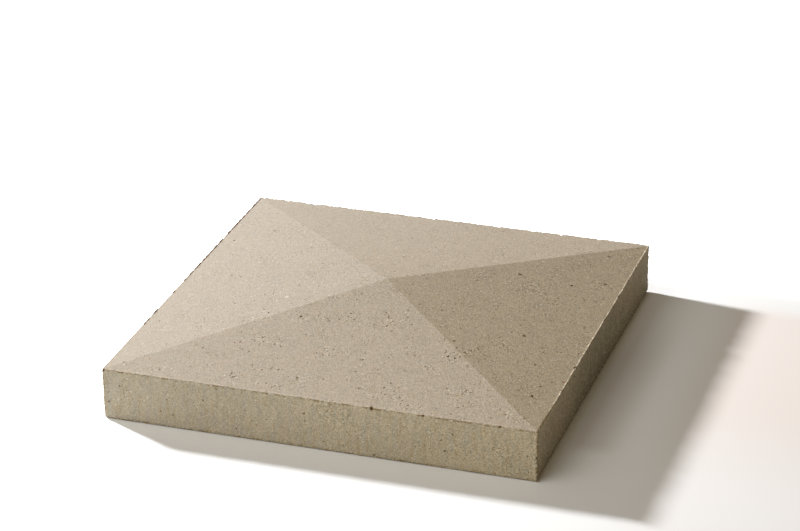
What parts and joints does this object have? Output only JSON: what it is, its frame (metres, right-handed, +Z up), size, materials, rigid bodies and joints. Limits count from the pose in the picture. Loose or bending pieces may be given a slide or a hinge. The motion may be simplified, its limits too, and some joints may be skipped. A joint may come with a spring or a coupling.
{
  "type": "pier cap",
  "caption": "Square cast concrete pier cap: a flat-bedded slab with upright sides and a hipped top that sheds rain from a masonry pier.",
  "frame": {"origin": "middle of the bed face, the flat underside that rests on the pier", "axes": "+Z up through the apex, X and Y square to the upright sides"},
  "size_m": [0.45, 0.45, 0.085],
  "materials": {
    "concrete": "matte"
  },
  "bodies": {
    "root": {"pier_cap": "concrete"}
  },
  "joints": []
}
